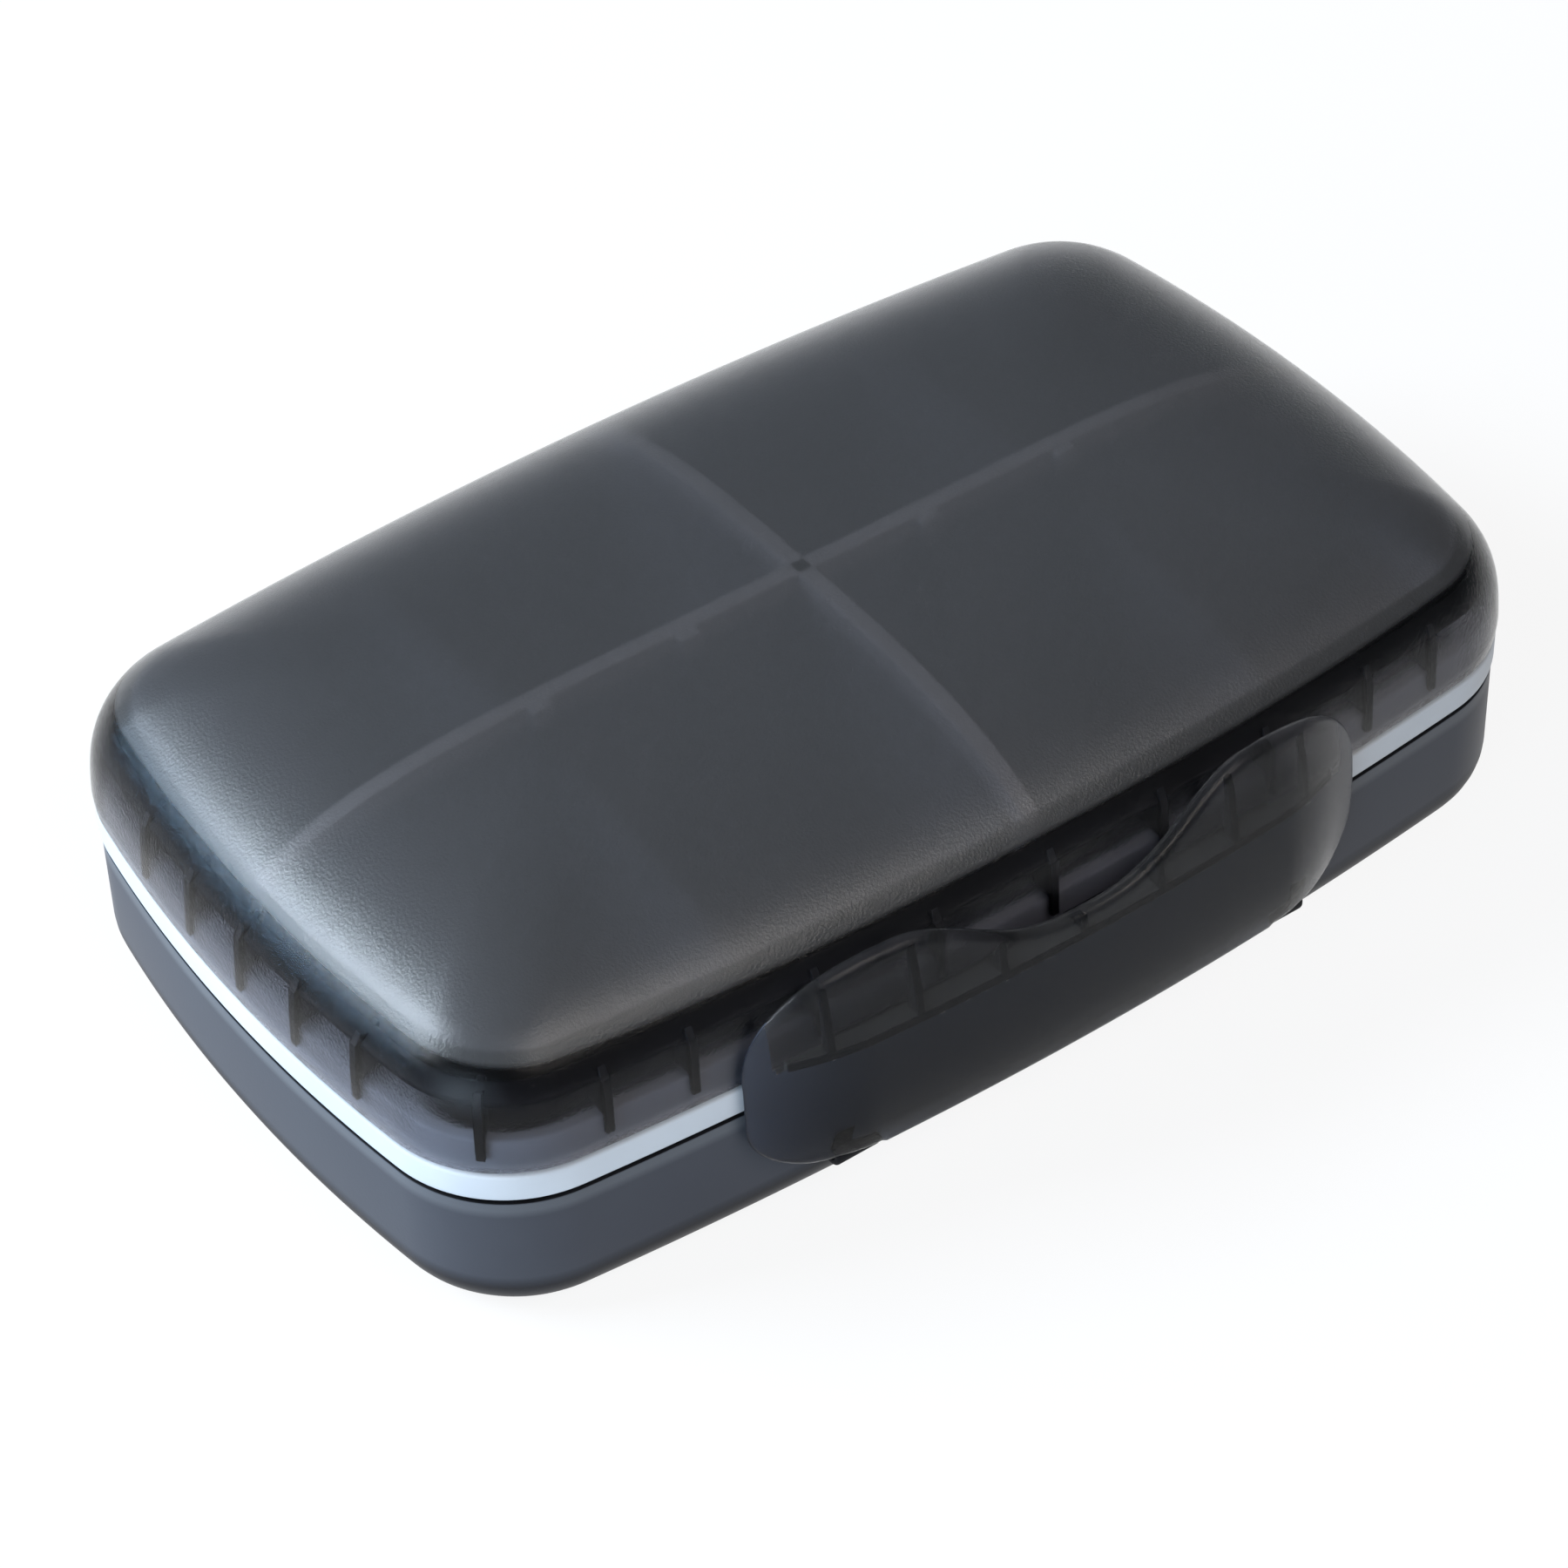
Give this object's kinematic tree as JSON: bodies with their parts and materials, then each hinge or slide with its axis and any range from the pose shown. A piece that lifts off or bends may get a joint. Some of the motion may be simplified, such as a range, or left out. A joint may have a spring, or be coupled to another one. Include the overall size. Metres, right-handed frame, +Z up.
{
  "type": "pill organizer",
  "caption": "Bowed rectangular travel pill case with a domed smoked lid on a rear hinge, a pale seal, a front pull latch and removable dividers between its cells.",
  "frame": {"origin": "on the table, under the middle of the case", "axes": "+X along the case's length, -Y towards the latch side, +Z up"},
  "size_m": [0.1202, 0.0831, 0.0342],
  "materials": {
    "smoked_lid": "translucent smoke grey, fine satin grain",
    "smoked_base": "translucent slate grey, satin",
    "smoked_latch": "translucent dark slate, satin",
    "clear_smoke": "translucent grey, satin",
    "silicone": "soft white silicone",
    "steel": "drawn wire"
  },
  "bodies": {
    "base": {"base_case": "smoked_base", "cell_walls": "smoked_base", "hinge_pin": "steel", "latch_pin": "steel", "divider_front_left": "clear_smoke", "divider_front_right": "clear_smoke", "divider_rear_left": "clear_smoke", "divider_rear_right": "clear_smoke"},
    "lid": {"lid_shell": "smoked_lid", "seal_ring": "silicone"},
    "latch": {"latch": "smoked_latch"}
  },
  "joints": [
    {"name": "lid_hinge", "type": "hinge", "parent": "base", "child": "lid", "pos_m": [0, 0.03945, 0.0162], "axis": [-1, 0, 0], "range_deg": [0, 165]},
    {"name": "latch_hinge", "type": "hinge", "parent": "base", "child": "latch", "pos_m": [0, -0.0377, 0.0076], "axis": [1, 0, 0], "range_deg": [0, 105]}
  ]
}
